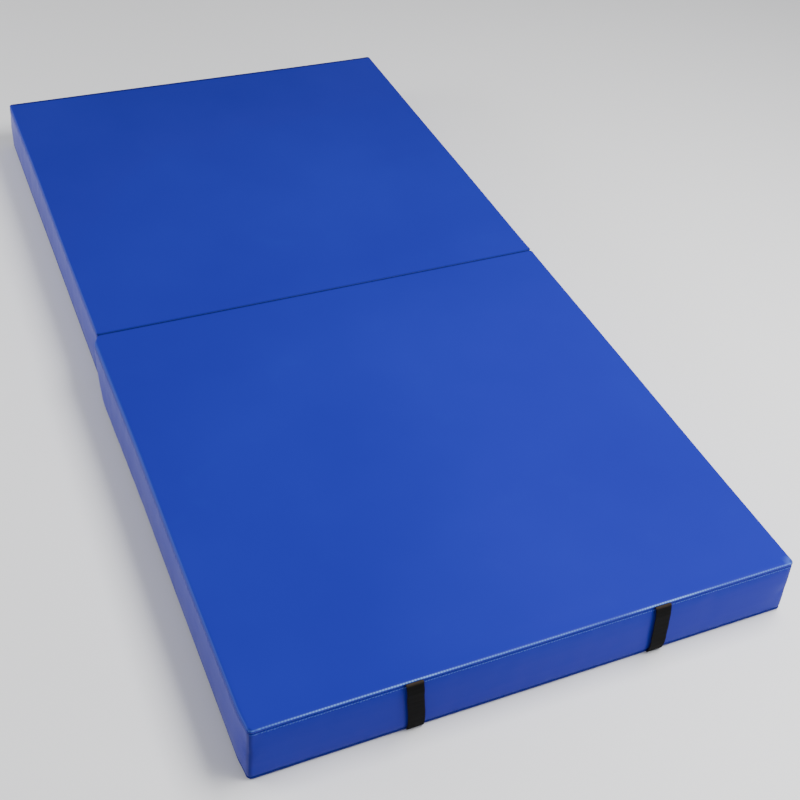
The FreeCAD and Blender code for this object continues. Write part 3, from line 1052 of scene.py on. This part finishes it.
black_webbing = make_webbing()
for panel in panels:
    rise = STRAP_RISES[panel.name]
    line, runs = strap_line(rise)
    for hand in ("left", "right"):
        node = panel.name + "_handle_" + hand
        low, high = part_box(node)
        width = high.x - low.x
        centre = (low.x + high.x) / 2
        lean = NEAR_LEANS[hand] if panel.name == "near" else 0.0
        far_corner = (width / 2, 0.5, runs[-1])
        strap = start_block(panel.name + "_webbing_" + hand, (-width / 2, -0.5, 0), far_corner)
        bpy.ops.object.mode_set(mode="EDIT")
        divide_long(0, width / 2, WEB_COLUMNS - 1)
        divide_long(2, runs[-1] / 2, WEB_ROWS - 1)
        bpy.ops.object.mode_set(mode="OBJECT")
        rows = {}
        # This attribute carries the painted highlight over the top bend.
        worn = strap.data.attributes.new("worn", "FLOAT", "POINT")
        for vertex in strap.data.vertices:
            across, side, run = vertex.co
            off_highlight = abs(run - BEND_HIGHLIGHT_AT - rise * RISE_RUN)
            worn.data[vertex.index].value = BEND_HIGHLIGHT_SHARE * ease(1 - off_highlight / BEND_HIGHLIGHT_REACH)
            key = round(run / MM, 3)
            if key not in rows:
                middle, outward = strap_place(line, runs, run)
                wall = settled(panel, Vector((centre, panel.length, middle.y))).y
                waver = EDGE_WAVER * noise.noise(Vector((centre * 40, run * 55, panel.sign)))
                rows[key] = (middle, outward, wall, waver)
            middle, outward, wall, waver = rows[key]
            rib = math.sin(math.pi * across / WARP_PITCH) * math.sin(math.pi * run / WEFT_PITCH)
            thin = math.sqrt(max(0.0, 1 - abs(2 * across / width) ** 10))
            half = WEB_THICK / 2 * (1 - WEB_EDGE_SHARE + WEB_EDGE_SHARE * thin)
            off = (half + WEAVE_DEPTH * rib) * (1 if side > 0 else -1)
            place = middle + outward * off
            slide = lean * ease(1 - middle.y / panel.top) + waver
            vertex.co = panel.world((centre + across + slide, wall + place.x, place.y))
        turn_out(panel, strap)
        bpy.ops.object.shade_smooth_by_angle(angle=math.radians(60))
        use_material(strap, black_webbing)
        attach(strap, panel.body)
        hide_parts(node)

# Fold strip. A strip of the same vinyl joins the two covers along the top of the fold. It is the hinge,
# made here as a flat, finely divided strip.
STRIP_CUTS = 23
STRIP_ACROSS_CUTS = 60

low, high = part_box("fold_strip")
strip = start_block("fold_strip_vinyl", low, high)
bpy.ops.object.mode_set(mode="EDIT")
divide_long(0, PANEL_LONG, STRIP_ACROSS_CUTS)
divide_long(1, 0.5 * (high.y - low.y), STRIP_CUTS)
bpy.ops.object.mode_set(mode="OBJECT")
bpy.ops.object.shade_smooth_by_angle(angle=math.radians(50))
use_material(strip, blue_vinyl)
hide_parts("fold_strip")
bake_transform(strip)

# Stitching. Blue bonded thread in a lockstitch of 5 mm. A row runs beside each seam, beside both edges
# of the zip opening, and along each zip end patch. Each stitch dips into the vinyl at its two ends.
THREAD = 0.62 * MM
STITCH_LENGTH = 4.0 * MM
STITCH_SINK = 0.5 * MM
ZIP_ROW = 8 * MM
TAB_MARGIN = 0.6 * MM
THREAD_DARK = (0.008, 0.030, 0.17)
THREAD_LIGHT = (0.018, 0.062, 0.30)


def make_thread():
    """Blue bonded thread, a little darker than the vinyl."""
    material, tree, shader, place = new_material("blue_thread")
    twist = cloudy(tree, place, 2600, 2)
    color = mix_color(tree, spread(tree, twist, 0.3, 0.7), THREAD_DARK, THREAD_LIGHT)
    tree.links.new(color, shader.inputs["Base Color"])
    tree.links.new(spread(tree, twist, 0.3, 0.7, 0.5, 0.7), shader.inputs["Roughness"])
    tree.links.new(relief(tree, twist, 0.00008, 0.5), shader.inputs["Normal"])
    return material


def sew_row(panel, wall, height, start, end, off=0.0):
    """A row of stitches along a wall at one height, laid on the filled cover."""
    along_x = wall in ("fold", "end")
    run = start + STITCH / 2
    places = {
        "west": (panel.west, run),
        "east": (panel.east, run),
        "fold": (run, 0),
        "end": (run, panel.length),
    }
    bpy.ops.object.select_all(action="DESELECT")
    bpy.ops.mesh.primitive_cylinder_add(
        vertices=6,
        radius=THREAD / 2,
        depth=STITCH_LENGTH,
        location=(*places[wall], height),
        rotation=(0, math.pi / 2, 0) if along_x else (math.pi / 2, 0, 0),
    )
    row = bpy.context.object
    bpy.ops.object.transform_apply(location=True, rotation=True, scale=True)
    axis = 0 if along_x else 1
    bpy.ops.object.mode_set(mode="EDIT")
    divide_long(axis, STITCH_LENGTH / 2, 3)
    bpy.ops.object.mode_set(mode="OBJECT")
    bpy.ops.object.modifier_add(type="ARRAY")
    repeat = row.modifiers["Array"]
    repeat.count = max(1, round((end - start) / STITCH))
    repeat.use_relative_offset = False
    repeat.use_constant_offset = True
    repeat.constant_offset_displace = (STITCH, 0, 0) if along_x else (0, STITCH, 0)
    bpy.ops.object.modifier_apply(modifier="Array")

    def sink(point):
        share = ((point[axis] - start) / STITCH) % 1 * 2 - 1
        return STITCH_SINK * share ** 2 - off

    lay_on_wall(panel, wall, row, sink)
    turn_out(panel, row)
    return row


blue_thread = make_thread()
for panel in panels:
    rows = []
    for height in (panel.top_seam - STITCH_ROW, panel.bottom_seam + STITCH_ROW):
        for wall in ("west", "east"):
            rows.append(sew_row(panel, wall, height, STITCH, panel.length - STITCH))
        for wall in ("fold", "end"):
            rows.append(sew_row(panel, wall, height, panel.west + STITCH, panel.east - STITCH))
    for height in (panel.middle - ZIP_ROW, panel.middle + ZIP_ROW):
        rows.append(sew_row(panel, "east", height, panel.zip_start + STITCH, panel.zip_end - STITCH))
    tab_low, tab_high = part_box(panel.name + "_zip_end_tabs")
    tab_first, tab_last = sorted((panel.own(tab_low).y, panel.own(tab_high).y))
    tab_length = panel.zip_start - tab_first
    for begin in (tab_first, tab_last - tab_length):
        for height in (tab_low.z + STITCH_ROW, tab_high.z - STITCH_ROW):
            end = begin + tab_length - TAB_MARGIN
            rows.append(sew_row(panel, "east", height, begin + TAB_MARGIN, end, tab_high.x - panel.east))
    for row in rows:
        row.select_set(True)
    bpy.ops.object.join()
    stitching = bpy.context.object
    stitching.name = panel.name + "_stitching"
    use_material(stitching, blue_thread)
    bpy.ops.object.shade_smooth_by_angle(angle=math.radians(60))
    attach(stitching, panel.body)

# Floor, lights and camera. A pale seamless floor and broad soft lights, seen from above the near left
# corner.
FLOOR_SIZE = 16
FLOOR_GAP = 0.5 * MM
FLOOR_GREY = (0.88, 0.88, 0.885)
FLOOR_WHITE = (0.90, 0.90, 0.905)

bpy.ops.object.select_all(action="DESELECT")
bpy.ops.mesh.primitive_plane_add(size=FLOOR_SIZE, location=(0, 0, -FLOOR_GAP))
floor = bpy.context.object
floor.name = "floor"
pale, pale_tree, pale_shader, pale_place = new_material("pale_floor")
pale_color = mix_color(pale_tree, cloudy(pale_tree, pale_place, 0.6), FLOOR_GREY, FLOOR_WHITE)
pale_tree.links.new(pale_color, pale_shader.inputs["Base Color"])
pale_shader.inputs["Roughness"].default_value = 0.75
pale_shader.inputs["Specular IOR Level"].default_value = 0.2
floor.data.materials.append(pale)


def soft_light(name, power, size, place, aim):
    """A broad white lamp of a given power in watts, aimed at a point."""
    lamp = bpy.data.lights.new(name, "AREA")
    lamp.energy = power
    lamp.shape = "RECTANGLE"
    lamp.size, lamp.size_y = size
    light = bpy.data.objects.new(name, lamp)
    bpy.context.scene.collection.objects.link(light)
    light.location = place
    light.rotation_euler = (Vector(aim) - Vector(place)).to_track_quat("-Z", "Y").to_euler()


soft_light("key", 124, (1.9, 1.3), (1.1, -1.0, 2.55), (0.12, -0.85, 0))
soft_light("left_soft", 80, (2.6, 1.2), (-3.1, 1.3, 1.0), (-0.7, 0.3, 0))
soft_light("end_soft", 34, (1.6, 0.8), (2.1, -3.1, 0.8), (0.45, -1.0, 0.06))
world = bpy.data.worlds.new("studio")
bpy.context.scene.world = world
world.use_nodes = True
world.node_tree.nodes["Background"].inputs["Color"].default_value = (0.96, 0.97, 1.0, 1)
world.node_tree.nodes["Background"].inputs["Strength"].default_value = 0.42

AZIMUTH = math.radians(-25.565)
ELEVATION = math.radians(34.422)
ROLL = math.radians(4.553)
DISTANCE = 3.362
AIM = Vector((0.301, 0.285, 0.0))
LENS = 61.9
LENS_SHIFT = -0.2

back = Vector((
    math.sin(AZIMUTH) * math.cos(ELEVATION),
    -math.cos(AZIMUTH) * math.cos(ELEVATION),
    math.sin(ELEVATION),
))
level = Vector((math.cos(AZIMUTH), math.sin(AZIMUTH), 0))
upright = back.cross(level)
across = level * math.cos(ROLL) + upright * math.sin(ROLL)
upward = upright * math.cos(ROLL) - level * math.sin(ROLL)
lens = bpy.data.cameras.new("camera")
lens.lens = LENS
lens.shift_y = LENS_SHIFT
camera = bpy.data.objects.new("camera", lens)
bpy.context.scene.collection.objects.link(camera)
turned = Matrix((across, upward, back)).transposed().to_4x4()
camera.matrix_world = Matrix.Translation(AIM + back * DISTANCE) @ turned
bpy.context.scene.camera = camera
